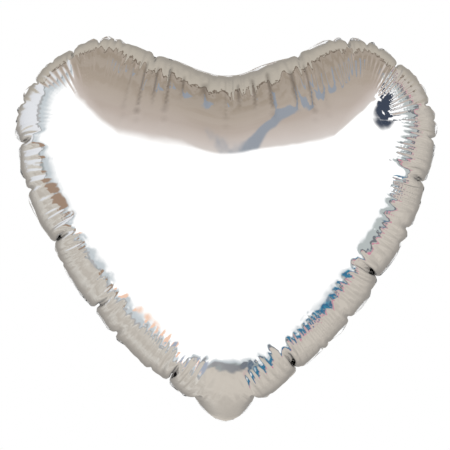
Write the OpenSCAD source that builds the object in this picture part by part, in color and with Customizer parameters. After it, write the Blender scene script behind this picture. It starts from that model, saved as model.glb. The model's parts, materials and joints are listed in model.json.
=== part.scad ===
// Heart-shaped foil balloon, inflated, with its inflation tail folded up behind it.
// Two metallised film panels are welded face to face round a flat rim. A self-sealing valve of
// two clear film plies runs from a port in the tail, past the tip, into the gas space.
// Frame: +X to the right across the lobes, -Y is the front, +Z up, origin at the heart's centre.
// Films are drawn thicker than life so that they stay solid.

/* [Heart outline, at the weld line] */
// Distance of each lobe's centre from the middle
lobe_x = 102; // [98:1:108]
// Radius of each lobe
lobe_r = 92; // [86:1:98]
// Radius of the long curve from lobe to tip
side_r = 400; // [340:1:460]
// Radius of the rounded tip
tip_r = 9; // [8:0.5:14]
// Height of the lobes' centres above the tip's centre
lobe_rise = 249; // [240:1:256]
// Depth of the cleft below the tops of the lobes
cleft_depth = 36; // [28:1:50]
// Width of the welded rim outside the weld line
rim_w = 3; // [2:0.5:5]

/* [Inflated depth] */
// Depth from the weld plane to the crown of each panel
crown = 96; // [80:1:110]

/* [Film] */
// Drawn thickness of the metallised film
film_t = 0.4; // [0.3:0.1:0.6]
// Drawn thickness of the clear valve film
valve_t = 0.3; // [0.3:0.1:0.5]
// Gap between the two valve plies
channel_t = 0.3; // [0.2:0.1:0.5]

/* [Tail and valve] */
// Length of the tail from its fold
tail_l = 48; // [40:1:60]
// Width of the tail
tail_w = 26; // [24:1:32]
// Width of the tail where it joins the tip
root_w = 18; // [17:1:20]
// Width of the valve
valve_w = 14; // [13:0.5:15]
// Width of each weld along the valve's sides
valve_weld_w = 2; // [1.5:0.5:2.5]
// Length of the valve inside the balloon, above the weld line
valve_rise = 72; // [50:1:90]
// Radius of the inflation port
port_r = 4; // [3:0.25:4.5]
// Distance of the port from the tail's free end
port_inset = 14; // [12:1:18]
// Angle of the stored tail, from hanging straight down
tail_fold = 128; // [126:1:140]

/* [Hidden] */

// The plies stack up from the middle plane outwards
valve_inner_y = channel_t / 2;
weld_y = valve_inner_y + valve_t;
rim_y = weld_y + film_t;

// The lobes and the tip stand so that the welded rim's box is centred on the origin
lobe_z = (tip_r + lobe_rise - lobe_r) / 2;
tip_z = lobe_z - lobe_rise;
lobe = [lobe_x, lobe_z];
tip = [0, tip_z];

// Cleft arc: centred on the middle line and touching the lobe from outside
cleft_z = lobe_z + lobe_r - cleft_depth;
cleft_span = lobe_r - cleft_z;
cleft_centre_z = (lobe_x ^ 2 + lobe_z ^ 2 - cleft_span ^ 2) / (2 * (cleft_span + lobe_z));
cleft_r = cleft_centre_z - cleft_z;
cleft_centre = [0, cleft_centre_z];

// Side arc: touches the lobe and the tip from outside them both
lobe_to_side = side_r - lobe_r;
tip_to_side = side_r - tip_r;
axis_l = norm(tip - lobe);
axis_dir = (tip - lobe) / axis_l;
along = (lobe_to_side ^ 2 - tip_to_side ^ 2 + axis_l ^ 2) / (2 * axis_l);
across = sqrt(lobe_to_side ^ 2 - along ^ 2);
side_centre = lobe + along * axis_dir + across * [axis_dir.y, -axis_dir.x];

// Directions in which the arcs meet
cleft_end = direction(lobe - cleft_centre);
side_start = direction(lobe - side_centre);
side_end = direction(tip - side_centre);
cleft_steps = 5;
lobe_steps = 16;
side_steps = 10;
tip_steps = 5;

// Rings of the domed panels, closer together towards the rim
rings = 8;

// Bulge of a panel over its radius: blunter at the cleft and sharper at the tip
bulge_power = 0.56;
cleft_blunting = 0.12;
tip_sharpening = 0.32;
blend_angle = 28;

// Hinge line of the tail, just below the rim
rim_bottom_z = tip_z - tip_r - rim_w;
hinge_gap = 0.9;
hinge_z = rim_bottom_z - hinge_gap;
tail_start = 2.6;
shoulder_l = 12;
weld_clearance = 0.2;
bore_sides = 64;
cut = 1;

function direction(v) = atan2(v.y, v.x);

function arc(centre, radius, from, to, steps) =
    [for (i = [0 : steps - 1])
        let (a = from + (to - from) * i / steps)
        centre + radius * [cos(a), sin(a)]];

// One side of the heart from the cleft round to the tip, moved outwards by grow
function half_outline(grow) = [
    each arc(cleft_centre, cleft_r - grow, -90, cleft_end, cleft_steps),
    each arc(lobe, lobe_r + grow, cleft_end + 180, side_start, lobe_steps),
    each arc(side_centre, side_r + grow, side_start, side_end, side_steps),
    each arc(tip, tip_r + grow, side_end, -90, tip_steps),
    tip - [0, tip_r + grow]
];

function outline(grow) =
    let (right = half_outline(grow), last = len(right) - 1)
    [each right, for (i = [last - 1 : -1 : 1]) [-right[i].x, right[i].y]];

// Share of the crown depth at share s of the way out to the rim, towards point p
function bulge(s, p) =
    let (
        a = direction(p),
        to_cleft = exp(-((a - 90) / blend_angle) ^ 2),
        to_tip = exp(-((a + 90) / blend_angle) ^ 2)
    )
    (1 - s ^ 2) ^ (bulge_power - cleft_blunting * to_cleft + tip_sharpening * to_tip);

// A ring of a dome that starts at depth from the weld plane
function dome_ring(s, grow, depth) =
    [for (p = outline(grow)) [s * p.x, -depth - (crown - rim_y) * bulge(s, p), s * p.y]];

function flat_ring(grow, depth) = [for (p = outline(grow)) [p.x, -depth, p.y]];

// A closed skin over a list of rings, with a point at each end
module ring_loft(first, ring_list, last) {
    n = len(ring_list[0]);
    m = len(ring_list);
    end = n * m + 1;
    points = [first, for (r = ring_list) each r, last];
    faces = [
        for (i = [0 : n - 1]) [0, 1 + i, 1 + (i + 1) % n],
        for (j = [0 : m - 2], i = [0 : n - 1])
            let (a = 1 + j * n + i, b = 1 + j * n + (i + 1) % n)
            each [[a, a + n, b], [b, a + n, b + n]],
        for (i = [0 : n - 1])
            let (a = end - n)
            [end, a + (i + 1) % n, a + i]
    ];
    polyhedron(points, faces, convexity = 6);
}

// Domed film with its flat rim, facing the front
module panel() {
    shares = [for (k = [1 : rings]) sin(90 * k / rings)];
    outer = [for (s = shares) dome_ring(s, 0, rim_y)];
    rim = [flat_ring(rim_w, rim_y), flat_ring(rim_w, weld_y)];
    inner = [for (k = [rings - 1 : -1 : 0]) dome_ring(shares[k], -film_t, weld_y)];
    ring_loft([0, -crown, 0], [each outer, each rim, each inner], [0, film_t - crown, 0]);
}

// Plates drawn in X and Z, standing between two depths behind the middle plane
module plate(from_y, to_y) {
    translate([0, to_y, 0]) rotate([90, 0, 0]) linear_extrude(to_y - from_y) children();
}

module front_panel() color("silver") panel();

module back_panel() color("silver") mirror([0, 1, 0]) panel();

// The fused band between the panels' rims, open at the tip where the valve passes
module perimeter_weld() {
    color("lightgray")
    plate(-weld_y, weld_y)
    difference() {
        polygon(outline(rim_w));
        polygon(outline(0));
        translate([-valve_w / 2 - weld_clearance, rim_bottom_z - cut])
            square([valve_w + 2 * weld_clearance, tip_r + rim_w + 2 * cut]);
    }
}

// Outline of the valve between two heights
module valve_strip(bottom, top) {
    translate([-valve_w / 2, bottom]) square([valve_w, top - bottom]);
}

// The two welds that close the valve's long sides
module valve_welds(bottom, top) {
    for (side = [-1, 1])
        translate([side * (valve_w - valve_weld_w) / 2 - valve_weld_w / 2, bottom])
            square([valve_weld_w, top - bottom]);
}

inner_valve_bottom = rim_bottom_z + rim_w + weld_clearance;
inner_valve_top = rim_bottom_z + rim_w + valve_rise;

module inner_valve_front_ply() {
    color("gainsboro")
    plate(-weld_y, -valve_inner_y) valve_strip(inner_valve_bottom, inner_valve_top);
}

module inner_valve_back_ply() {
    color("gainsboro")
    plate(valve_inner_y, weld_y) valve_strip(inner_valve_bottom, inner_valve_top);
}

module inner_valve_side_welds() {
    color("whitesmoke")
    plate(-valve_inner_y, valve_inner_y) valve_welds(inner_valve_bottom, inner_valve_top);
}

// Carries a part drawn hanging straight down from the hinge line to its stored pose
module stored_tail() {
    translate([0, 0, hinge_z]) rotate([tail_fold, 0, 0]) children();
}

// Outline of the tail: narrow at the tip, then full width to its free end
module tail_outline() {
    half_root = root_w / 2;
    half = tail_w / 2;
    polygon([
        [-half_root, -tail_start], [half_root, -tail_start],
        [half, -shoulder_l], [half, -tail_l],
        [-half, -tail_l], [-half, -shoulder_l]
    ]);
}

// The round port, drilled through whatever it is subtracted from
module port() {
    translate([0, 0, port_inset - tail_l])
        rotate([90, 0, 0]) cylinder(r = port_r, h = 10, center = true, $fn = bore_sides);
}

module tail_front_ply() {
    color("silver") stored_tail() difference() {
        plate(-rim_y, -weld_y) tail_outline();
        port();
    }
}

module tail_back_ply() {
    color("silver") stored_tail() plate(weld_y, rim_y) tail_outline();
}

module tail_side_welds() {
    color("lightgray") stored_tail() plate(-weld_y, weld_y) difference() {
        tail_outline();
        translate([-valve_w / 2, -tail_l - cut]) square([valve_w, tail_l + cut]);
    }
}

module tail_valve_front_ply() {
    color("gainsboro") stored_tail() difference() {
        plate(-weld_y, -valve_inner_y) valve_strip(-tail_l, -tail_start);
        port();
    }
}

module tail_valve_back_ply() {
    color("gainsboro") stored_tail()
        plate(valve_inner_y, weld_y) valve_strip(-tail_l, -tail_start);
}

module tail_valve_side_welds() {
    color("whitesmoke") stored_tail()
        plate(-valve_inner_y, valve_inner_y) valve_welds(-tail_l, -tail_start);
}

front_panel();
back_panel();
perimeter_weld();
inner_valve_front_ply();
inner_valve_back_ply();
inner_valve_side_welds();
tail_front_ply();
tail_back_ply();
tail_side_welds();
tail_valve_front_ply();
tail_valve_back_ply();
tail_valve_side_welds();
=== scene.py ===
"""Heart-shaped foil balloon: films inflated from their flat cut, a tail with its valve, and a studio.

The two films are cut flat and welded together round their rim. A small solver inflates them: the film bends
easily and resists stretching, so the spare length round the rim gathers into puckers and creases. A few per
cent of stretch is left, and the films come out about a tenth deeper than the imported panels, so the result is
then scaled to the panels' depth and eased onto their outline.
The solver works in millimetres, and everything that Blender gets is in metres.
"""
import json
import math

import bpy
import numpy as np
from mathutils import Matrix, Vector
from mathutils.geometry import delaunay_2d_cdt
from mathutils.kdtree import KDTree


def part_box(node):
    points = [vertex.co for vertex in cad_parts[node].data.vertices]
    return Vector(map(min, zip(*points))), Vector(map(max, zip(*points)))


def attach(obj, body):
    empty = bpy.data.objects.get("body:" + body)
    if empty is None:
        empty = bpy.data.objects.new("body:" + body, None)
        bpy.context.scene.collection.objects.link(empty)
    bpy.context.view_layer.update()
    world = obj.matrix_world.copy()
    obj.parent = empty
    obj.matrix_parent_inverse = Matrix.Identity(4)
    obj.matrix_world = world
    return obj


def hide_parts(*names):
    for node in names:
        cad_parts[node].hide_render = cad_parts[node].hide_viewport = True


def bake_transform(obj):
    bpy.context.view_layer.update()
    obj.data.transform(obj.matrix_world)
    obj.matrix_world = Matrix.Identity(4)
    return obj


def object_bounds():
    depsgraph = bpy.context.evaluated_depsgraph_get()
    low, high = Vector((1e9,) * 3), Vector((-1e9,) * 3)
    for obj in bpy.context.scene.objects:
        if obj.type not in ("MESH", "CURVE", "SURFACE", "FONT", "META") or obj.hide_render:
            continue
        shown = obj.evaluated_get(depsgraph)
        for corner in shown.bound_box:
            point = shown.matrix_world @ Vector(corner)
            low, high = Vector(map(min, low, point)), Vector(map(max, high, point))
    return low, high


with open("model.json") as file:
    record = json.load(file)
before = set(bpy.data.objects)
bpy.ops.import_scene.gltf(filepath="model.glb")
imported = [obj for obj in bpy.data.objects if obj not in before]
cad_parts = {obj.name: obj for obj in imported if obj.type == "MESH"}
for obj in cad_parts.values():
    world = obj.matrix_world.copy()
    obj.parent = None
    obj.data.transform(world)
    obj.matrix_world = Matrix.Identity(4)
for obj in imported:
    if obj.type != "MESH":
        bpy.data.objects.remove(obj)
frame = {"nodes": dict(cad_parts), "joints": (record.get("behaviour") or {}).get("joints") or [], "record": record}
cad_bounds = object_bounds()

MM = 0.001

# ------------------------------------------------------------------ driving dimensions, in millimetres
# Flat cut of each panel, at the weld line: arcs that touch, mirrored about the middle
LOBE = (117.3, 85.1)        # centre of the outer side of a lobe
LOBE_R = 114.9
CROWN_R = 132.7             # flatter arc over the top of a lobe
CROWN_ANGLE = 79.5          # direction from the lobe's centre in which the two arcs meet, in degrees
SIDE_R = 312.5
TIP_Z = -190.0
TIP_R = 27.4
CLEFT_Z = 190.6
RIM_W = 3.0                 # welded rim outside the weld line
RIM_T = 0.25

# Mesh spacing and how far in from the weld line each finer level reaches
SPACING = 10.0
BAND = (None, None, 75.0, 34.0)
LEVELS = 4
FINE_TO = 92.0              # the gathers need the finest spacing this far in
STEPS = (1500, 1000, 800, 600)
PRESSURE = (0.005, 0.0022, 0.001, 0.00045)
BEND = (0.1, 0.1, 0.1, 0.05)
RIM_BEND = 0.3
# The rim's stiffness is chosen for how far apart it makes the creases
STAY = 20.0                 # the rim keeps itself straight over this length,
STAY_HOLD = 0.15            # this firmly,
KINK = 0.98                 # until it is down to this share of its flat length, where it folds
TIP_HELD = 32.0             # round the tip, where the tail joins, it doesn't fold
TIP_HOLD = 0.6
DRAG = 0.004
UNEVEN = 0.3                # first unevenness of the film, which starts the puckers
DOME, DOME_RUN = 30.0, 150.0  # the films start as low domes, so that each knows its side

# Fine gathers inside the rim, and longer, sparser folds below the cleft: added after the solver has finished
GATHER = 8.5                # width of a gather along the weld line
GATHER_HEIGHT = 1.3
GATHER_START = (25.0, 50.0)  # from faint to full, as distances from the weld line
GATHER_REACH = 84.0         # they end this far in, give or take half of GATHER_REACH_SPREAD
GATHER_REACH_SPREAD = 36.0
GATHER_END = 24.0           # and fade out over this length
GATHER_FAINT = 0.12         # share of their height beside the weld line
GATHER_LEAST, GATHER_MORE = 0.75, 0.45  # their height strays from the first to the sum of the two
VALLEY = 0.02               # rounds the valleys between them
PUFF_MIDDLE = 0.65          # so that they go about as far in as out
RIGHT_ACROSS, RIGHT_UP = (90.0, 130.0), (70.0, 40.0)  # on the right side, beyond this and below this,
RIGHT_LONGER, RIGHT_HIGHER = 10.0, 0.35               # they are longer and higher by this
GATHER_WANDER = 2.2         # how far they stray from even spacing, in gathers
FOLD_WANDER = 1.3
# Lengths along the weld line over which the gathers' spacing, reach and height stray
SPACING_RUN, REACH_RUN, HEIGHT_RUN = 26.0, 17.0, 48.0
# and those for the folds' spacing and place
FOLD_SPACING_RUN, FOLD_PLACE_RUN = 30.0, 9.0
FIRST_SEED, SEEDS_APART = 5, 10
SMOOTHED = 0.85             # share of their height lost where the film is pulled smooth
EVEN_TIP = (10.0, 60.0)     # evenly spaced at the tip, and straying in full this far from it
FOLD = 11.0
FOLD_HEIGHT = 0.75
FOLD_START, FOLD_END = 56.0, 84.0  # distances from the weld line, less and more by up to the two below
FOLD_EARLIER, FOLD_LATER = 18.0, 38.0
FOLD_SPREAD = (60.0, 85.0)  # folds fade out this far along the weld line from the cleft

# Neck of the tail, as distances from the middle of the rim's lowest point
NECK_SEAM = 30.0            # the seam is centred within this
NECK_FLAT = 8.0             # the rim lies flat within this,
NECK_FREE = 22.0            # and keeps its own shape beyond this


# ------------------------------------------------------------------ flat pattern
def ease(t):
    """Smoothly from 0 at 0 to 1 at 1, and level outside."""
    t = np.clip(t, 0, 1)
    return t * t * (3 - 2 * t)


def between(t, low, high):
    """Smoothly from 0 at low to 1 at high, or the other way round when high is the lower."""
    return ease((t - low) / (high - low))


def meet(c1, r1, c2, r2):
    """The point at r1 from c1 and r2 from c2, on the left of the line between them."""
    d = c2 - c1
    length = np.hypot(*d)
    along = (r1 ** 2 - r2 ** 2 + length ** 2) / (2 * length)
    across = math.sqrt(r1 ** 2 - along ** 2)
    u = d / length
    return c1 + along * u + across * np.array([u[1], -u[0]])


def arc(centre, radius, start, end, n=200):
    a = np.linspace(start, end, n, endpoint=False)
    return np.c_[centre[0] + radius * np.cos(a), centre[1] + radius * np.sin(a)]


def direction(v):
    return math.atan2(v[1], v[0])


def flat_heart():
    """Closed outline of a panel's flat cut at the weld line, from the cleft clockwise."""
    lobe, tip = np.array(LOBE), np.array([0.0, TIP_Z])
    turn = math.radians(CROWN_ANGLE)
    crown = lobe - (CROWN_R - LOBE_R) * np.array([math.cos(turn), math.sin(turn)])
    gap = CROWN_R - CLEFT_Z
    cleft = np.array([0.0, (crown @ crown - gap ** 2) / (2 * gap + 2 * crown[1])])
    side = meet(lobe, SIDE_R - LOBE_R, tip, SIDE_R - TIP_R)
    if side[0] > 0:
        u = (tip - lobe) / np.hypot(*(tip - lobe))
        off = (side - lobe) @ np.array([u[1], -u[0]])
        side = side - 2 * off * np.array([u[1], -u[0]])
    a_cleft = direction(crown - cleft)
    a_side = direction(lobe - side)
    a_tip = direction(tip - side)
    right = np.r_[
        arc(cleft, cleft[1] - CLEFT_Z, -math.pi / 2, a_cleft),
        arc(crown, CROWN_R, a_cleft + math.pi, turn),
        arc(lobe, LOBE_R, turn, a_side),
        arc(side, SIDE_R, a_side, a_tip, 400),
        arc(tip, TIP_R, a_tip, -math.pi / 2),
        [[0, TIP_Z - TIP_R]],
    ]
    return np.r_[right, right[-2:0:-1] * [-1, 1]]


def spaced(outline, step):
    """The closed outline with points about a step apart."""
    closed = np.r_[outline, outline[:1]]
    run = np.r_[0, np.cumsum(np.hypot(*np.diff(closed, axis=0).T))]
    at = np.linspace(0, run[-1], max(8, round(run[-1] / step)), endpoint=False)
    return np.c_[np.interp(at, run, closed[:, 0]), np.interp(at, run, closed[:, 1])]


def inside(points, outline):
    x, y = points.T
    odd = np.zeros(len(points), bool)
    for (x1, y1), (x2, y2) in zip(outline, np.roll(outline, -1, 0)):
        if y1 != y2:
            odd ^= ((y1 > y) != (y2 > y)) & (x < (x2 - x1) * (y - y1) / (y2 - y1) + x1)
    return odd


def gap_to(points, outline):
    """Distance from each point to the nearest point of the outline."""
    parts = np.array_split(points, 16)
    return np.concatenate([np.sqrt(((p[:, None] - outline[None]) ** 2).sum(2)).min(1) for p in parts])


def flat_mesh(outline, spacing, holes=()):
    """Even triangles inside a closed outline and outside its holes: points, outline first, and faces."""
    edge = np.concatenate([outline, *holes])
    low, high = outline.min(0), outline.max(0)
    rows = np.arange(low[1], high[1], spacing * math.sqrt(3) / 2)
    grid = np.array([
        (x, z) for i, z in enumerate(rows)
        for x in np.arange(low[0] + (i % 2) * spacing / 2, high[0], spacing)
    ])
    fill = grid[inside(grid, outline)]
    for hole in holes:
        fill = fill[~inside(fill, hole)]
    fill = fill[gap_to(fill, edge) > 0.6 * spacing]
    points = np.r_[edge, fill]
    links, first = [], 0
    for loop in (outline, *holes):
        n = len(loop)
        links += [(first + i, first + (i + 1) % n) for i in range(n)]
        first += n
    made = delaunay_2d_cdt([Vector(p) for p in points], links, [], 0, 1e-9)
    faces = np.array([list(f) for f in made[2]])
    centres = points[faces].mean(1)
    keep = inside(centres, outline)
    for hole in holes:
        keep &= ~inside(centres, hole)
    faces = faces[keep]
    a, b, c = (points[faces[:, i]] for i in range(3))
    twice = (b[:, 0] - a[:, 0]) * (c[:, 1] - a[:, 1]) - (b[:, 1] - a[:, 1]) * (c[:, 0] - a[:, 0])
    faces[twice < 0] = faces[twice < 0][:, ::-1]
    return points, faces[np.abs(twice) > 1e-9]


# ------------------------------------------------------------------ mesh bookkeeping for the solver
FRONT, BACK, RIM = 0, 1, 2


def edges_of(faces):
    """Every edge once, and for each face's three sides, a row of sides at a time, which edge it is."""
    sides = np.sort(np.r_[faces[:, [0, 1]], faces[:, [1, 2]], faces[:, [2, 0]]], axis=1)
    key = sides[:, 0].astype(np.int64) * (faces.max() + 1) + sides[:, 1]
    _, first, which = np.unique(key, return_index=True, return_inverse=True)
    return sides[first], which.reshape(3, -1).T


def across_edges(faces):
    """The pairs of points that face each other across an inner edge."""
    sides = np.sort(np.r_[faces[:, [0, 1]], faces[:, [1, 2]], faces[:, [2, 0]]], axis=1)
    facing = np.r_[faces[:, 2], faces[:, 0], faces[:, 1]]
    key = sides[:, 0].astype(np.int64) * (faces.max() + 1) + sides[:, 1]
    order = np.argsort(key, kind="stable")
    twin = np.flatnonzero(key[order][1:] == key[order][:-1])
    return np.c_[facing[order[twin]], facing[order[twin + 1]]]


def refine(faces, tags, chosen, fields):
    """Splits the chosen faces in four, and their neighbours as needed so that no edge is left half split."""
    edges, per_face = edges_of(faces)
    count = len(fields[0])
    split = np.zeros(len(edges), bool)
    split[per_face[chosen].ravel()] = True
    middle = np.full(len(edges), -1)
    middle[split] = count + np.arange(split.sum())
    mids = middle[per_face]
    parts = (mids >= 0).sum(1)
    made, made_tags = [faces[parts == 0]], [tags[parts == 0]]
    for n in (1, 2, 3):
        rows = parts == n
        start = {1: np.argmax(mids[rows] >= 0, axis=1), 2: np.argmin(mids[rows] >= 0, axis=1) + 1,
                 3: np.zeros(rows.sum(), int)}[n]
        turn = (start[:, None] + np.arange(3)) % 3
        a, b, c = np.take_along_axis(faces[rows], turn, 1).T
        ab, bc, ca = np.take_along_axis(mids[rows], turn, 1).T
        pieces = {
            1: [(a, ab, c), (ab, b, c)],
            2: [(ab, b, bc), (a, ab, bc), (a, bc, c)],
            3: [(a, ab, ca), (ab, b, bc), (ca, bc, c), (ab, bc, ca)],
        }[n]
        for piece in pieces:
            made.append(np.stack(piece, 1))
            made_tags.append(tags[rows])
    ends = edges[split]
    fields = [np.r_[f, (f[ends[:, 0]] + f[ends[:, 1]]) / 2] for f in fields]
    return np.concatenate(made), np.concatenate(made_tags), fields


def groups_apart(pairs, count):
    """Splits the pairs into groups in which no point comes twice, so that each group moves at once."""
    dice = np.random.default_rng(0)
    left, groups = np.arange(len(pairs)), []
    while len(left):
        group, free, used = [], left, np.zeros(count, bool)
        while len(free) and len(group) < 6:
            rank = dice.permutation(len(free))
            best = np.full(count, len(free))
            np.minimum.at(best, pairs[free, 0], rank)
            np.minimum.at(best, pairs[free, 1], rank)
            take = free[(best[pairs[free, 0]] == rank) & (best[pairs[free, 1]] == rank)]
            group.append(take)
            used[pairs[take].ravel()] = True
            free = free[~(used[pairs[free, 0]] | used[pairs[free, 1]])]
        groups.append(np.concatenate(group))
        left = np.setdiff1d(left, groups[-1], assume_unique=True)
    return groups


def lengths(points, pairs):
    d = points[pairs[:, 0]] - points[pairs[:, 1]]
    return np.sqrt((d * d).sum(1))


def settle(x, speed, flat, faces, tags, level):
    """Moves the film under pressure for the level's steps, with every edge pulled towards its flat length."""
    count = len(x)
    edges, _ = edges_of(faces)
    film = [across_edges(faces[tags == t]) for t in (FRONT, BACK, RIM)]
    bends = np.concatenate(film)
    weight = np.r_[np.full(len(film[0]) + len(film[1]), BEND[level]), np.full(len(film[2]), RIM_BEND)]
    edge_length, bend_length = lengths(flat, edges), lengths(flat, bends)
    held = [(edges[g, 0], edges[g, 1], edge_length[g]) for g in groups_apart(edges, count)]
    sprung = [(bends[g, 0], bends[g, 1], bend_length[g], weight[g]) for g in groups_apart(bends, count)]
    seam = np.intersect1d(faces[tags == FRONT], faces[tags == BACK])
    seam = seam[np.argsort(np.arctan2(flat[seam, 2], flat[seam, 0]))]
    stays = np.stack([seam, np.roll(seam, -round(STAY / SPACING * 2 ** level))], 1)
    stay_length = lengths(flat, stays)
    tip = np.array([0, 0, TIP_Z - TIP_R])
    near_tip = np.linalg.norm(flat[stays].mean(1) - tip, axis=1) < TIP_HELD
    hold = np.where(near_tip, TIP_HOLD, STAY_HOLD)
    limit = np.where(near_tip, 0, KINK) * stay_length
    stayed = [(*stays[g].T, stay_length[g], limit[g], hold[g]) for g in groups_apart(stays, count)]
    a, b, c = faces[tags < RIM].T
    for step in range(STEPS[level]):
        if step % 2 == 0:
            normal = np.cross(x[b] - x[a], x[c] - x[a])
            push = np.stack([
                sum(np.bincount(i, normal[:, k], count) for i in (a, b, c)) for k in range(3)
            ], 1) * (PRESSURE[level] / (3 * math.sqrt(3)) / (SPACING / 2 ** level) ** 2)
        before = x.copy()
        x = x + speed + push
        for i, j, rest in held:
            d = x[j] - x[i]
            size = np.sqrt((d * d).sum(1))
            d *= (0.5 * (size - rest) / size)[:, None]
            x[i] += d
            x[j] -= d
        for i, j, rest, least, w in stayed:
            d = x[j] - x[i]
            size = np.sqrt((d * d).sum(1))
            d *= (w * np.minimum(0.5 * (size - rest) / size, 0) * (size > least))[:, None]
            x[i] += d
            x[j] -= d
        for i, j, rest, w in sprung:
            d = x[j] - x[i]
            size = np.sqrt((d * d).sum(1))
            d *= (w * np.minimum(0.5 * (size - rest) / size, 0))[:, None]
            x[i] += d
            x[j] -= d
        speed = (x - before) * (1 - DRAG)
    return x, speed


def inflate():
    """The inflated films: points, flat points, faces, tags, and how far each lies from the weld line."""
    seam = spaced(flat_heart(), SPACING)
    n = len(seam)
    points, front = flat_mesh(seam, SPACING)
    count = len(points)
    to_back = np.arange(count)
    to_back[n:] += count - n
    ahead = np.roll(seam, -1, 0) - np.roll(seam, 1, 0)
    outward = np.c_[-ahead[:, 1], ahead[:, 0]] / np.hypot(*ahead.T)[:, None]
    if (outward * (seam - seam.mean(0))).sum() < 0:
        outward = -outward
    outer = 2 * count - n + np.arange(n)
    ring = np.arange(n)
    after = (ring + 1) % n
    rim = np.r_[np.c_[ring, outer, after], np.c_[after, outer, outer[after]]]
    flat = np.r_[points, points[n:], seam + RIM_W * outward]
    flat = np.c_[flat[:, 0], np.zeros(len(flat)), flat[:, 1]]
    faces = np.r_[front, to_back[front][:, ::-1], rim]
    tags = np.repeat([FRONT, BACK, RIM], [len(front), len(front), len(rim)])
    depth = gap_to(flat[:, ::2], spaced(seam, 2))
    depth[outer] = 0
    side = np.repeat([0, -1, 1, 0], [n, count - n, count - n, n])
    x = flat.copy()
    x[:, 1] = side * DOME * np.sqrt(np.clip(depth / DOME_RUN, 0, 1))
    speed = np.zeros_like(x)
    dice = np.random.default_rng(1)
    for level in range(LEVELS):
        if level:
            near = np.ones(len(faces), bool)
            if BAND[level] is not None:
                near = (depth[faces].min(1) < BAND[level]) | (tags == RIM)
            faces, tags, (x, flat, speed, depth) = refine(faces, tags, near, (x, flat, speed, depth))
        x = x + dice.normal(0, UNEVEN * SPACING / 10 / 2 ** level, x.shape)
        x, speed = settle(x, speed, flat, faces, tags, level)
        print("level", level, "points", len(x), "size", np.round(np.ptp(x, axis=0), 1))
    return x, flat, faces, tags, depth


# ------------------------------------------------------------------ node helpers
class Nodes:
    """Builds a node tree with short calls: numbers and colours may stand where a socket may."""

    def __init__(self, tree):
        self.tree = tree
        tree.nodes.clear()

    def plug(self, socket, value):
        if isinstance(value, bpy.types.NodeSocket):
            self.tree.links.new(value, socket)
        elif isinstance(value, (tuple, list)) and socket.type == "RGBA" and len(value) == 3:
            socket.default_value = (*value, 1)
        else:
            socket.default_value = value

    def node(self, kind, inputs=(), **settings):
        made = self.tree.nodes.new(kind)
        for name, value in settings.items():
            setattr(made, name, value)
        for name, value in dict(inputs).items():
            self.plug(made.inputs[name], value)
        return made

    def math(self, operation, a, b=0.0):
        return self.node("ShaderNodeMath", {0: a, 1: b}, operation=operation).outputs[0]

    def ramp(self, value, low, high, start=0.0, end=1.0):
        """Smoothly from start to end as value goes from low to high."""
        made = self.node("ShaderNodeMapRange", {0: value, 1: low, 2: high, 3: start, 4: end},
                         interpolation_type="SMOOTHSTEP")
        return made.outputs[0]

    def mix(self, factor, a, b):
        made = self.node("ShaderNodeMix", data_type="RGBA", clamp_factor=True)
        self.plug(made.inputs[0], factor)
        self.plug(made.inputs[6], a)
        self.plug(made.inputs[7], b)
        return made.outputs[2]

    def bands(self, value, stops):
        """The colour at value, between stops of (value, colour)."""
        made = self.node("ShaderNodeValToRGB", {0: value})
        for i, (at, colour) in enumerate(stops):
            stop = made.color_ramp.elements[i] if i < 2 else made.color_ramp.elements.new(at)
            stop.position, stop.color = at, (*colour, 1)
        return made.outputs[0]

    def noise(self, vector, scale, detail=2.0, rough=0.5, distortion=0.0):
        made = self.node("ShaderNodeTexNoise", {"Vector": vector, "Scale": scale, "Detail": detail,
                                                "Roughness": rough, "Distortion": distortion})
        return made.outputs["Fac"]

    def field(self, name):
        return self.node("ShaderNodeAttribute", attribute_name=name).outputs["Fac"]

    def bump(self, height, distance, strength=1.0, normal=None):
        inputs = {"Height": height, "Distance": distance, "Strength": strength}
        if normal is not None:
            inputs["Normal"] = normal
        return self.node("ShaderNodeBump", inputs).outputs[0]


def new_material(name):
    material = bpy.data.materials.new(name)
    material.use_nodes = True
    return material, Nodes(material.node_tree)


def finish_material(nodes, **inputs):
    """A Principled shader with these inputs, and the material's output."""
    shader = nodes.node("ShaderNodeBsdfPrincipled",
                        {key.replace("_", " "): value for key, value in inputs.items()})
    nodes.node("ShaderNodeOutputMaterial", {"Surface": shader.outputs[0]})


# ------------------------------------------------------------------ materials
EDGE_TINT = (0.62, 0.63, 0.65)  # the film reflects less where it is seen edge on
FOIL_TINTS = (0.90, 0.895, 0.89), (0.925, 0.92, 0.915)
# Painted shade: along the folds the foil's colour is mixed towards this darker colour, by up to the share after it
FOLD_SHADE_COLOUR, FOLD_SHADE = (0.40, 0.385, 0.38), 0.75
FOIL_ROUGH, HAZE_ROUGH, RIM_ROUGH = 0.035, 0.05, 0.03  # bare film, and what haze and the rim add
WAFFLE = 0.0009             # pitch of the sealed rim's waffle, in metres
CRINKLED = (55.0, 4.0)      # distances from the weld line between which the fine crinkles grow


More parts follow.
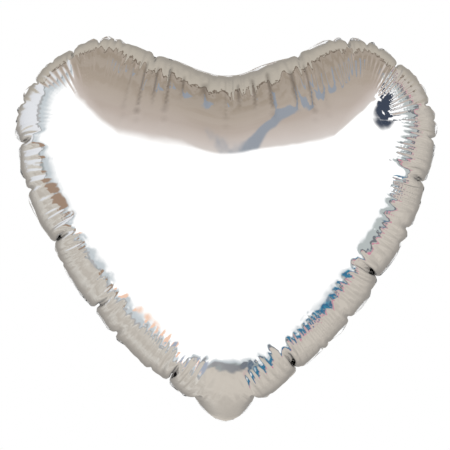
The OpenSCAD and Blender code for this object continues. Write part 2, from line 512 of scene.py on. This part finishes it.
def foil_material():
    """Metallised film: a near mirror with faint haze, painted shade in its folds, and fine crinkles by the weld.
    """
    material, n = new_material("foil")
    place = n.node("ShaderNodeTexCoord").outputs["Object"]
    near_rim = n.ramp(n.field("from_weld"), *CRINKLED)
    haze = n.noise(place, 22.0, 4.0, 0.6)
    smudge = n.ramp(haze, 0.52, 0.72)
    rough = n.math("ADD", FOIL_ROUGH, n.math("MULTIPLY", smudge, HAZE_ROUGH))
    rough = n.math("ADD", rough, n.math("MULTIPLY", near_rim, RIM_ROUGH))
    tint = n.mix(n.ramp(n.noise(place, 9.0, 2.0), 0.35, 0.65), *FOIL_TINTS)
    drum = n.noise(place, 34.0, 2.0, 0.45)
    wave = n.bump(drum, 0.0004, 0.35)
    crinkle = n.noise(place, 420.0, 3.0, 0.6, 0.4)
    height = n.math("MULTIPLY", crinkle, near_rim)
    normal = n.bump(height, 0.00022, 0.8, wave)
    # Painted shade: the colour darkens along the folds, as far as the film's crease field reaches
    tint = n.mix(n.math("MULTIPLY", n.field("crease"), FOLD_SHADE), tint, FOLD_SHADE_COLOUR)
    finish_material(n, Base_Color=tint, Metallic=1.0, Roughness=rough, Normal=normal, Specular_Tint=EDGE_TINT)
    return material


def weld_material():
    """The heat-sealed rim: the same film, pressed flat with a fine waffle and a duller shine."""
    material, n = new_material("foil_weld")
    place = n.node("ShaderNodeTexCoord").outputs["Object"]
    turned = n.node("ShaderNodeMapping", {"Vector": place, "Rotation": (0, math.radians(45), 0)}).outputs[0]
    part = n.node("ShaderNodeSeparateXYZ", {0: turned})
    pitch = 2 * math.pi / WAFFLE
    grid = n.math("ADD", n.math("SINE", n.math("MULTIPLY", part.outputs[0], pitch)),
                  n.math("SINE", n.math("MULTIPLY", part.outputs[2], pitch)))
    pressed = n.ramp(grid, -1.2, 1.2)
    wrinkle = n.noise(place, 300.0, 3.0, 0.6)
    normal = n.bump(pressed, 0.00006, 0.7, n.bump(wrinkle, 0.0005, 0.5))
    tint = n.mix(pressed, (0.80, 0.80, 0.80), (0.90, 0.90, 0.895))
    rough = n.ramp(wrinkle, 0.3, 0.7, 0.12, 0.26)
    finish_material(n, Base_Color=tint, Metallic=1.0, Roughness=rough, Normal=normal, Specular_Tint=EDGE_TINT)
    return material


def valve_material():
    """Clear valve film: slightly milky, with flow lines along it."""
    material, n = new_material("valve_film")
    place = n.node("ShaderNodeTexCoord").outputs["Object"]
    lines = n.node("ShaderNodeMapping", {"Vector": place, "Scale": (900.0, 60.0, 60.0)}).outputs[0]
    streak = n.noise(lines, 1.0, 2.0)
    rough = n.ramp(streak, 0.3, 0.7, 0.16, 0.3)
    tint = n.mix(streak, (0.78, 0.81, 0.84), (0.9, 0.92, 0.93))
    normal = n.bump(streak, 0.0001, 0.5)
    finish_material(n, Base_Color=tint, Roughness=rough, Normal=normal, Alpha=0.62, IOR=1.5)
    return material


def floor_material():
    material, n = new_material("floor")
    place = n.node("ShaderNodeTexCoord").outputs["Object"]
    tint = n.mix(n.noise(place, 3.0, 3.0), (0.86, 0.86, 0.855), (0.89, 0.89, 0.885))
    finish_material(n, Base_Color=tint, Roughness=0.7)
    return material


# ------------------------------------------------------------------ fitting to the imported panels
ANGLES = np.linspace(-math.pi, math.pi, 720, endpoint=False)
OUTLINE_BLUR = math.radians(7)
DEPTH_SHARE = 99.95         # the few points that stand out furthest don't count for the depth


def reach(points, edges):
    """How far the outline lies from the middle in each of ANGLES, for points in the plane of the weld."""
    a, b = points[edges[:, 0]], points[edges[:, 1]]
    far = np.zeros(len(ANGLES))
    for k, angle in enumerate(ANGLES):
        u = np.array([math.cos(angle), math.sin(angle)])
        off_a, off_b = a @ [-u[1], u[0]], b @ [-u[1], u[0]]
        hit = off_a * off_b <= 0
        t = off_a[hit] / (off_a[hit] - off_b[hit] + 1e-12)
        far[k] = (a[hit] @ u * (1 - t) + b[hit] @ u * t).max()
    return far


def blurred(values):
    """The values round the outline with anything narrower than OUTLINE_BLUR smoothed away."""
    turn = ANGLES + math.pi
    turn = np.minimum(turn, 2 * math.pi - turn)
    kernel = np.exp(-0.5 * (turn / OUTLINE_BLUR) ** 2)
    return np.fft.ifft(np.fft.fft(values) * np.fft.fft(kernel / kernel.sum())).real


def round_at(values, angles):
    return np.interp(angles, np.r_[ANGLES, math.pi], np.r_[values, values[0]])


def fit_to_panels(x, faces, tags):
    """Centres the films on the panels, scales them to the panels' depth and eases them onto their outline."""
    panel = frame["nodes"]["front_panel"].data
    cad = np.array([v.co[:] for v in panel.vertices])[:, ::2] / MM
    cad_edges = np.array([e.vertices[:] for e in panel.edges])
    x = x - (x.max(0) + x.min(0)) / 2
    low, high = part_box("front_panel")
    x[:, [0, 2]] *= (high.x - low.x) / MM / np.ptp(x[:, 0])
    rim_edges, _ = edges_of(faces[tags == RIM])
    wanted, found = reach(cad, cad_edges), reach(x[:, ::2], rim_edges)
    stretch = blurred(wanted) / blurred(found)
    angle, radius = np.arctan2(x[:, 2], x[:, 0]), np.hypot(x[:, 0], x[:, 2])
    out = np.clip(radius / round_at(blurred(found), angle), 0, 1.1)
    x[:, [0, 2]] *= (1 + (round_at(stretch, angle) - 1) * out ** 2)[:, None]
    x[:, 1] *= (-low.y / MM) / np.percentile(np.abs(x[:, 1]), DEPTH_SHARE)
    return x


# ------------------------------------------------------------------ Blender objects
def new_piece(name, points, faces, body, material):
    """A smooth mesh piece from points in millimetres, attached to a body if one is given."""
    mesh = bpy.data.meshes.new(name)
    mesh.from_pydata((points * MM).tolist(), [], faces.tolist())
    mesh.update()
    mesh.polygons.foreach_set("use_smooth", [True] * len(mesh.polygons))
    piece = bpy.data.objects.new(name, mesh)
    bpy.context.scene.collection.objects.link(piece)
    mesh.materials.append(material)
    if body:
        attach(piece, body)
    return piece


def part_of(points, faces, *fields):
    """Only the points that the faces use, with the fields that go with them."""
    used, which = np.unique(faces, return_inverse=True)
    return (points[used], which.reshape(faces.shape), *(f[used] for f in fields))


def add_field(piece, name, values):
    attribute = piece.data.attributes.new(name, "FLOAT", "POINT")
    attribute.data.foreach_set("value", np.asarray(values, np.float32))


def thicken(piece, thickness):
    """Gives a film its thickness, half of it to each side."""
    solid = piece.modifiers.new("film", "SOLIDIFY")
    solid.thickness = thickness * MM
    solid.offset = 0
    solid.use_even_offset = False


# ------------------------------------------------------------------ tail and valve
FOLD_R = 0.5                # inside radius of the tail's fold
TAIL_SPACING = 0.9
TAIL_WELD_W = 3.5           # weld along each side of the tail
TAIL_END_W = 2.5            # and across its free end
TAIL_CURL = 2.5             # how far the free end curls outwards
TAIL_PUFFED = (3.0, 12.0)   # along the tail, where its plies begin to part
TAIL_CLOSED = 5.0           # and how far from the free end they meet again
TAIL_FROM_WELD = 12.0       # the tail's film is as crinkled as a panel's this far from its weld
NECK_HALF = 7.6
SHOULDER = (2.0, 13.0)      # along the tail, where it widens from its neck
VALVE_HALF = 7.0
VALVE_SHORT = 1.0           # the valve's plies end this far inside the tail's
FILM_T = 0.05               # drawn thickness of the tail's and valve's films
VALVE_SPACING = 1.1
PORT_SPACING = 0.7
PLY_GAP = 0.2               # half the gap between two plies where they are welded
# Each ply's place in the stack, and how far it bulges
FRONT_LIFT, BACK_LIFT = (PLY_GAP, 0.75), (-PLY_GAP, -0.55)
VALVE_FRONT_LIFT, VALVE_BACK_LIFT = (0.07, 0.3), (-0.07, -0.25)
# The hole in the valve's ply is a little larger than the port, and a little further along
VALVE_HOLE_LARGER, VALVE_HOLE_ALONG, VALVE_HOLE_SPACING = 0.3, 0.5, 0.8
# The inner valve's plies: half their gap at the bottom, what is added higher up, their sway and their ripple
INNER_GAP, INNER_PUFF, INNER_SWAY, INNER_RIPPLE = 0.1, 0.5, 3.0, 0.15
END_ROUND = 3.0

hinge_joint = frame["joints"][0]
hinge = np.array(hinge_joint["pos_m"])[1:] / MM
fold = math.radians(hinge_joint["range_deg"][1])
tail_way = np.array([math.sin(fold), -math.cos(fold)])
port = next(m for m in frame["record"]["mounts"] if m["name"] == "inflation_port")
port_along = (np.array(port["pos_m"])[1:] / MM - hinge) @ tail_way
port_r = port["dims"]["r_mm"]
tail_points = np.array([v.co[:] for v in frame["nodes"]["tail_back_ply"].data.vertices]) / MM
tail_l = ((tail_points[:, 1:] - hinge) @ tail_way).max()
tail_half = tail_points[:, 0].max()

# The fold starts straight below the rim and ends on the line from the hinge along the stored tail
fold_end_y = FOLD_R * (1 - math.cos(fold))
fold_top_z = hinge[1] + fold_end_y * tail_way[1] / tail_way[0] + FOLD_R * math.sin(fold)
fold_end = np.array([fold_end_y, fold_top_z - FOLD_R * math.sin(fold)])
end_along = (fold_end - hinge) @ tail_way
start_along = end_along - FOLD_R * fold


def on_tail(across, along, lift):
    """Points of the tail from their place on its flat cut, lifted towards the outside of the front ply."""
    bend = np.clip((along - start_along) / FOLD_R, 0, fold)
    y = FOLD_R * (1 - np.cos(bend))
    z = fold_top_z - FOLD_R * np.sin(bend) + np.maximum(start_along - along, 0)
    past = np.maximum(along - end_along, 0)
    curl = TAIL_CURL * (past / tail_l) ** 2
    y = y + past * tail_way[0] - (lift + curl) * np.cos(bend)
    z = z + past * tail_way[1] - (lift + curl) * np.sin(bend)
    return np.c_[across, y, z]


def tail_half_width(along):
    return NECK_HALF + (tail_half - NECK_HALF) * between(along, *SHOULDER)


def tail_outline(top):
    """Flat outline of a tail ply: the neck, the shoulders and a free end with rounded corners."""
    along = np.linspace(top, tail_l, 160)
    over = np.clip(along - (tail_l - END_ROUND), 0, END_ROUND)
    half = tail_half_width(along) - END_ROUND + np.sqrt(END_ROUND ** 2 - over ** 2)
    right = np.c_[half, along]
    return spaced(np.r_[right, right[::-1] * [-1, 1]], TAIL_SPACING)


def circle(radius, along, spacing):
    n = max(24, round(2 * math.pi * radius / spacing))
    return arc((0.0, along), radius, 0, 2 * math.pi, n)


def tail_crinkle(across, along):
    """How far a ply stands out for gathers below the neck, soft cross creases, and a loose free end.

    Heights are in millimetres, and waves in radians for each millimetre.
    """
    gathers = 0.16 * np.sin(across * 2.3 + 0.8 * np.sin(along * 0.21)) * np.exp(-((along - 2) / 11) ** 2)
    creases = 0.28 * np.sin(0.55 * along + 0.25 * across + 1.2 * np.sin(0.3 * across))
    creases += 0.16 * np.sin(0.9 * along - 0.7 * across + 2.0)
    free = 0.5 * between(along, 20, 48) * np.sin(0.2 * across + 0.13 * along)
    return gathers * between(along, end_along, end_along + 3) + (creases + free) * between(along, 5, 15)


def ply(name, outline, holes, spacing, lift, material, weld=None):
    """One ply of the tail: lift is its place in the stack, and how far it bulges."""
    flat, faces = flat_mesh(outline, spacing, holes)
    across, along = flat.T
    inner = np.clip(np.abs(across) / (tail_half_width(along) - TAIL_WELD_W), 0, 1)
    puffed = between(along, *TAIL_PUFFED) * (1 - inner ** 2) * between(tail_l - along, 0, TAIL_CLOSED)
    points = on_tail(across, along, lift[0] + lift[1] * puffed + tail_crinkle(across, along))
    piece = new_piece(name, points, faces, None, material)
    if weld:
        piece.data.materials.append(weld)
        middle = flat[faces].mean(1)
        welded = np.abs(middle[:, 0]) > tail_half_width(middle[:, 1]) - TAIL_WELD_W
        welded |= middle[:, 1] > tail_l - TAIL_END_W
        piece.data.polygons.foreach_set("material_index", welded.astype(np.int32))
    add_field(piece, "from_weld", np.full(len(points), TAIL_FROM_WELD))
    add_field(piece, "crease", np.zeros(len(points)))
    a, b, c = flat[faces].transpose(1, 0, 2)
    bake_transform(piece)
    return piece


def strip(half, bottom, top, spacing):
    corners = np.array([[half, bottom], [half, top], [-half, top], [-half, bottom]])
    return spaced(corners, spacing)


def make_tail(rim_bottom, foil, weld, clear):
    outline = tail_outline(start_along - (rim_bottom + RIM_W - fold_top_z))
    hole = circle(port_r, port_along, PORT_SPACING)
    front = ply("tail_front_film", outline, [hole], TAIL_SPACING, FRONT_LIFT, foil, weld)
    back = ply("tail_back_film", outline, [], TAIL_SPACING, BACK_LIFT, foil, weld)
    valve = strip(VALVE_HALF, end_along + VALVE_SHORT, tail_l - VALVE_SHORT, VALVE_SPACING)
    hole = circle(port_r + VALVE_HOLE_LARGER, port_along + VALVE_HOLE_ALONG, VALVE_HOLE_SPACING)
    valve_front = ply("tail_valve_front_film", valve, [hole], VALVE_SPACING, VALVE_FRONT_LIFT,
                      clear)
    valve_back = ply("tail_valve_back_film", valve, [], VALVE_SPACING, VALVE_BACK_LIFT,
                     clear)
    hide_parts("tail_front_ply")
    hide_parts("tail_back_ply", "tail_side_welds")
    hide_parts("tail_valve_front_ply")
    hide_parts("tail_valve_back_ply", "tail_valve_side_welds")
    for piece in (front, back, valve_front, valve_back):
        thicken(piece, FILM_T)


def make_inner_valve(clear):
    """The two clear plies inside the balloon, from the neck up into the gas space."""
    low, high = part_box("inner_valve_front_ply")
    bottom, top = low.z / MM, high.z / MM
    for side, name, nodes in (
        (-1, "inner_valve_front_film", ["inner_valve_front_ply"]),
        (1, "inner_valve_back_film", ["inner_valve_back_ply", "inner_valve_side_welds"]),
    ):
        flat, faces = flat_mesh(strip(VALVE_HALF, bottom, top, VALVE_SPACING), VALVE_SPACING)
        across, up = flat[:, 0], (flat[:, 1] - bottom) / (top - bottom)
        puffed = INNER_GAP + INNER_PUFF * (1 - (across / VALVE_HALF) ** 2) * ease(up * 4)
        sway = INNER_SWAY * up ** 2 * np.sin(3.1 * up + 0.4)
        ripple = INNER_RIPPLE * up * np.sin(flat[:, 1] * 0.8 + across * 0.5)
        points = np.c_[across, side * puffed + sway + ripple, flat[:, 1]]
        piece = new_piece(name, points, faces, "balloon", clear)
        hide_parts(*nodes)
        thicken(piece, FILM_T)


# ------------------------------------------------------------------ studio
# Colours are linear; the sweep is lit brighter than white
WHITE = (1.25, 1.25, 1.25)
WALL = (0.66, 0.61, 0.545)
WALL_LEFT = (0.76, 0.735, 0.68)
# The ceiling's colour by height, from its front edge to straight overhead
CEILING = (
    (0.28, (0.72, 0.67, 0.64)),
    (0.40, (0.64, 0.57, 0.53)),
    (0.55, (0.52, 0.445, 0.395)),
    (0.75, (0.45, 0.38, 0.317)),
    (0.98, (0.37, 0.31, 0.25)),
)
CEILING_BACK = (0.575, 0.525, 0.45)
BROWN = (0.15, 0.11, 0.08)
BEAM = (0.33, 0.36, 0.41)
NAVY = (0.055, 0.07, 0.105)
# Coloured things about the studio: direction (right, back, up), width in degrees, softness in degrees, colour
THINGS = (
    ((0.76, -0.41, 0.50), 9.0, 2.0, NAVY),
    ((-0.96, -0.05, -0.25), 8.0, 4.0, (0.38, 0.27, 0.20)),
    ((-0.52, -0.25, -0.82), 8.0, 4.0, (0.98, 0.66, 0.50)),
    ((-0.34, -0.30, -0.89), 8.0, 7.0, (0.42, 0.46, 0.55)),
)


def make_world():
    """The studio that the foil mirrors: a white sweep in front, warm grey walls to the sides and behind,
    a beige ceiling with a beam over the front edge, and a cluttered edge where the sweep meets the walls.

    Places are given by the unit direction's parts to the right, to the front and up, each from -1 to 1.
    """
    world = bpy.data.worlds.new("studio")
    bpy.context.scene.world = world
    world.use_nodes = True
    n = Nodes(world.node_tree)
    way = n.node("ShaderNodeTexCoord").outputs["Generated"]
    right, back, up = n.node("ShaderNodeSeparateXYZ", {0: way}).outputs
    front = n.math("MULTIPLY", back, -1.0)
    # Straight below, the floor of the studio reaches further forward
    below = n.math("MULTIPLY", n.ramp(up, -0.86, -0.93), n.ramp(n.math("ABSOLUTE", right), 0.42, 0.2))
    edge = n.math("SUBTRACT", front, n.math("MULTIPLY", below, 0.30))

    wall = n.mix(n.ramp(right, -0.7, 0.0), WALL_LEFT, WALL)
    patches = n.ramp(n.noise(way, 2.6, 4.0, 0.6), 0.36, 0.68)
    wall = n.mix(patches, wall, tuple(0.84 * c for c in WALL))
    wall = n.mix(n.ramp(front, -0.35, -0.9), wall, tuple(0.78 * c for c in WALL))
    window = n.math("MULTIPLY", n.ramp(right, -0.70, -0.82), n.ramp(up, -0.12, 0.02))
    wall = n.mix(window, wall, (0.84, 0.86, 0.90))

    # The edge of the sweep, outwards: a pale blue-grey halo, dark clutter, and a pink line on the right
    on_right = n.ramp(right, 0.1, 0.5)
    low_right = n.math("MULTIPLY", on_right, n.ramp(up, -0.4, -0.7))
    tone = n.noise(way, 7.0, 2.0)
    grey = n.mix(n.ramp(right, -0.3, 0.3), (0.46, 0.46, 0.47), (0.19, 0.20, 0.22))
    clutter = n.mix(low_right, grey, (0.045, 0.15, 0.29))
    clutter = n.mix(n.math("MULTIPLY", n.ramp(tone, 0.5, 0.62), low_right), clutter, (0.05, 0.28, 0.42))
    clutter = n.mix(n.ramp(tone, 0.46, 0.36), clutter, (0.36, 0.40, 0.40))
    halo = n.mix(n.ramp(edge, 0.10, 0.34), (0.60, 0.655, 0.69), WHITE)
    pale_right = n.math("MULTIPLY", on_right, n.ramp(up, -0.7, -0.45))
    pale = n.math("MULTIPLY", pale_right, n.ramp(edge, 0.05, 0.065))
    clutter = n.mix(pale, clutter, (0.50, 0.545, 0.545))
    uneven = n.math("MULTIPLY", n.noise(way, 3.3, 1.0), 0.09)
    breadth = n.math("ADD", n.ramp(right, -0.3, 0.4, 0.01, 0.09), uneven)
    breadth = n.math("ADD", breadth, n.math("MULTIPLY", pale_right, 0.08))
    outer = n.math("SUBTRACT", edge, breadth)
    sweep = n.mix(n.ramp(outer, -0.03, 0.03), clutter, halo)
    colour = n.mix(n.ramp(edge, -0.045, 0.0), wall, sweep)
    pink = n.math("MULTIPLY", n.ramp(edge, -0.09, -0.06), n.ramp(edge, -0.02, -0.045))
    pink = n.math("MULTIPLY", n.math("MULTIPLY", pink, on_right), n.ramp(n.noise(way, 4.0, 1.0), 0.4, 0.55))
    colour = n.mix(pink, colour, (0.62, 0.27, 0.36))

    # The ceiling's front edge rises towards the sides
    height = n.math("SUBTRACT", up, n.math("MULTIPLY", front, 0.25))
    aside = n.math("MAXIMUM", n.math("SUBTRACT", n.math("ABSOLUTE", right), 0.44), 0.0)
    height = n.math("SUBTRACT", height, n.math("MULTIPLY", aside, 1.5))
    ceiling = n.bands(height, CEILING)
    stains = n.node("ShaderNodeMapping", {"Vector": way, "Scale": (2.0, 5.0, 5.0)}).outputs[0]
    stains = n.ramp(n.noise(stains, 1.0, 3.0), 0.38, 0.62, 0.0, 0.22)
    ceiling = n.mix(stains, ceiling, (0.62, 0.56, 0.51))
    ceiling = n.mix(n.ramp(front, -0.30, -0.34), ceiling, CEILING_BACK)
    line = n.math("MULTIPLY", n.ramp(front, -0.37, -0.34), n.ramp(front, -0.28, -0.31))
    ceiling = n.mix(n.math("MULTIPLY", line, 0.8), ceiling, BROWN)
    off_beam = n.math("ABSOLUTE", n.math("SUBTRACT", right, n.ramp(front, 0.3, 0.85, 0.20, 0.06)))
    beam = n.math("MULTIPLY", n.ramp(off_beam, 0.065, 0.04), n.ramp(front, -0.02, 0.06))
    ceiling = n.mix(beam, ceiling, BEAM)
    faded = n.ramp(right, 0.0, -0.25, 0.30, 0.40)
    colour = n.mix(n.ramp(height, 0.25, faded), colour, ceiling)

    for thing_at, width, soft, paint in THINGS:
        toward = n.node("ShaderNodeVectorMath", {0: way, 1: Vector(thing_at).normalized()},
                        operation="DOT_PRODUCT").outputs["Value"]
        inner, outer = (math.cos(math.radians(a)) for a in (width - soft / 2, width + soft / 2))
        colour = n.mix(n.ramp(toward, outer, inner), colour, paint)

    path = n.node("ShaderNodeLightPath").outputs
    plain = n.math("MAXIMUM", path["Is Camera Ray"], path["Is Diffuse Ray"])
    colour = n.mix(plain, colour, (1.0, 1.0, 1.0))
    shade = n.node("ShaderNodeBackground", {"Color": colour, "Strength": 1.0})
    n.node("ShaderNodeOutputWorld", {"Surface": shade.outputs[0]})


FLOOR_R = 0.9
FLOOR_BELOW = 0.22          # under the object's lowest point, in metres


def make_floor(z):
    mesh = bpy.data.meshes.new("floor")
    ring = arc((0.0, 0.0), FLOOR_R, 0, 2 * math.pi, 96)
    mesh.from_pydata([(x, y, z) for x, y in ring], [], [tuple(range(len(ring)))])
    mesh.materials.append(floor_material())
    floor = bpy.data.objects.new("floor", mesh)
    bpy.context.scene.collection.objects.link(floor)
    floor.visible_glossy = False


def soft_box(name, place, size, power):
    """A square area light that faces the object."""
    light = bpy.data.lights.new(name, "AREA")
    light.shape = "SQUARE"
    light.size = size
    light.energy = power
    lamp = bpy.data.objects.new(name, light)
    bpy.context.scene.collection.objects.link(lamp)
    lamp.location = place
    lamp.rotation_euler = (-Vector(place)).to_track_quat("-Z", "Y").to_euler()
    lamp.visible_glossy = False


# The object fills this share of the picture's width and stands a little right of and below its middle
OBJECT_SHARE = 0.933
OFF_RIGHT, OFF_DOWN = 0.9 * MM, 4.2 * MM
LENS = 100.0


def make_camera():
    low, high = cad_bounds
    camera = bpy.data.cameras.new("camera")
    camera.lens = LENS
    eye = bpy.data.objects.new("camera", camera)
    bpy.context.scene.collection.objects.link(eye)
    distance = (high[0] - low[0]) / OBJECT_SHARE * LENS / camera.sensor_width
    middle_x, middle_z = (low[0] + high[0]) / 2, (low[2] + high[2]) / 2
    eye.location = (middle_x - OFF_RIGHT, -distance, middle_z + OFF_DOWN)
    eye.rotation_euler = (math.pi / 2, 0, 0)
    bpy.context.scene.camera = eye


# ------------------------------------------------------------------ gathers, films and assembly
WANDER_VALUES = 400


def wander(t, step, seed):
    """A smooth random curve from 0 to 1, with a new value each step along t."""
    values = np.random.default_rng(seed).random(WANDER_VALUES)
    at = t / step + WANDER_VALUES // 2
    whole = np.floor(at).astype(int)
    return values[whole] + (values[whole + 1] - values[whole]) * ease(at - whole)


def weld_run(flat):
    """For each flat point, how far along the weld line from the cleft its nearest point of that line is."""
    step = 0.25
    seam = spaced(flat_heart(), step)
    tree = KDTree(len(seam))
    for i, (across, up) in enumerate(seam):
        tree.insert((across, 0, up), i)
    tree.balance()
    nearest = np.array([tree.find(p)[1] for p in flat.tolist()])
    return np.minimum(nearest, len(seam) - nearest) * step


def gather(flat, depth, seed):
    """How far each point of a film stands out for the gathers and folds, and how deep in a fold it is, which sets
    the foil's painted shade.
    """
    run = weld_run(flat)
    to_tip = run.max() - run
    place = np.where(flat[:, 0] < 0, -run, run)
    loose = GATHER_WANDER * wander(place, SPACING_RUN, seed) * between(to_tip, *EVEN_TIP)
    turn = math.pi * (run / GATHER + loose)
    puff = np.sqrt(np.sin(turn) ** 2 + VALLEY) - PUFF_MIDDLE
    # The gathers are longest and deepest down the middle of the right side
    right = between(flat[:, 0], *RIGHT_ACROSS) * between(flat[:, 2], *RIGHT_UP)
    ends = GATHER_REACH + GATHER_REACH_SPREAD * (wander(place, REACH_RUN, seed + 1) - 0.5)
    strength = between(ends + RIGHT_LONGER * right - depth, 0, GATHER_END) * (1 + RIGHT_HIGHER * right)
    strength *= GATHER_FAINT + (1 - GATHER_FAINT) * between(depth, *GATHER_START)
    strength *= GATHER_LEAST + GATHER_MORE * between(wander(place, HEIGHT_RUN, seed + 2), 0.25, 0.7)
    # The high side of the left lobe is pulled smooth, and nearly so are the lobes' tops and the tip
    smooth = (flat[:, 0] < 0) * between(flat[:, 2], 0, 25) * between(flat[:, 2], 150, 120)
    smooth = np.maximum(smooth, 0.7 * between(run, 70, 100) * between(run, 200, 165))
    smooth = np.maximum(smooth, 0.85 * between(to_tip, 60, 35))
    out = GATHER_HEIGHT * puff * strength * (1 - SMOOTHED * smooth)
    turn = math.pi * (run / FOLD + FOLD_WANDER * wander(place, FOLD_SPACING_RUN, seed + 3))
    ridge = between(1 - np.abs(np.sin(turn)), 0.45, 1)
    which = wander(place, FOLD_PLACE_RUN, seed + 4)
    start, end = FOLD_START - FOLD_EARLIER * which, FOLD_END + FOLD_LATER * which
    ridge *= between(depth, start, start + 12) * between(depth, end, end - 22)
    ridge *= between(run, *FOLD_SPREAD[::-1])
    return out + FOLD_HEIGHT * ridge, ridge


def stand_out(points, faces, out):
    """The points moved along the film's own outward direction."""
    a, b, c = points[faces].transpose(1, 0, 2)
    normal = np.cross(b - a, c - a)
    outward = np.stack([sum(np.bincount(i, normal[:, k], len(points)) for i in faces.T) for k in range(3)], 1)
    return points + outward / np.linalg.norm(outward, axis=1)[:, None] * out[:, None]


def make_films(foil, weld):
    x, flat, faces, tags, depth = inflate()
    if LEVELS == len(BAND):
        nearest = depth[faces].min(1)
        near = (nearest < FINE_TO) & (nearest >= BAND[-1]) & (tags < RIM)
        faces, tags, (x, flat, depth) = refine(faces, tags, near, (x, flat, depth))
    x = fit_to_panels(x, faces, tags)
    rim_bottom = x[faces[tags == RIM].ravel(), 2].min()
    # The tail's plies hold the rim straight at the neck
    neck = np.hypot(x[:, 0], x[:, 2] - rim_bottom)
    seam = np.intersect1d(faces[tags == FRONT], faces[tags == BACK])
    seam = seam[neck[seam] < NECK_SEAM]
    seam = seam[np.argsort(x[seam, 0])]
    x[:, 1] -= np.interp(x[:, 0], x[seam, 0], x[seam, 1]) * (1 - between(neck, NECK_FLAT, NECK_FREE))
    edge = np.setdiff1d(faces[tags == RIM], seam)
    x[edge, 1] *= 0.1 + 0.9 * between(neck[edge], NECK_FLAT, 2 * NECK_FLAT)
    a, b, c = flat[faces[tags == FRONT]].transpose(1, 0, 2)
    for tag, name, node in ((FRONT, "front_film", "front_panel"), (BACK, "back_film", "back_panel")):
        points, used, from_weld, cut = part_of(x, faces[tags == tag], depth, flat)
        out, crease = gather(cut, from_weld, FIRST_SEED + SEEDS_APART * tag)
        points = stand_out(points, used, out)
        film = new_piece(name, points, used, "balloon", foil)
        add_field(film, "from_weld", from_weld)
        # The crease field darkens the foil's colour along the folds as painted shade
        add_field(film, "crease", crease)
        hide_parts(node)
    points, used = part_of(x, faces[tags == RIM])
    rim = new_piece("rim_weld", points, used, "balloon", weld)
    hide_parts("perimeter_weld")
    thicken(rim, RIM_T)
    return rim_bottom


foil, weld, clear = foil_material(), weld_material(), valve_material()
make_camera()
make_world()
make_floor(cad_bounds[0][2] - FLOOR_BELOW)
soft_box("key", (-1.2, -1.6, 1.6), size=1.2, power=18)
soft_box("fill", (1.4, -1.2, 0.9), size=1.4, power=8)
rim_bottom = make_films(foil, weld)
make_inner_valve(clear)
make_tail(rim_bottom, foil, weld, clear)
bpy.context.scene.view_settings.view_transform = "Standard"
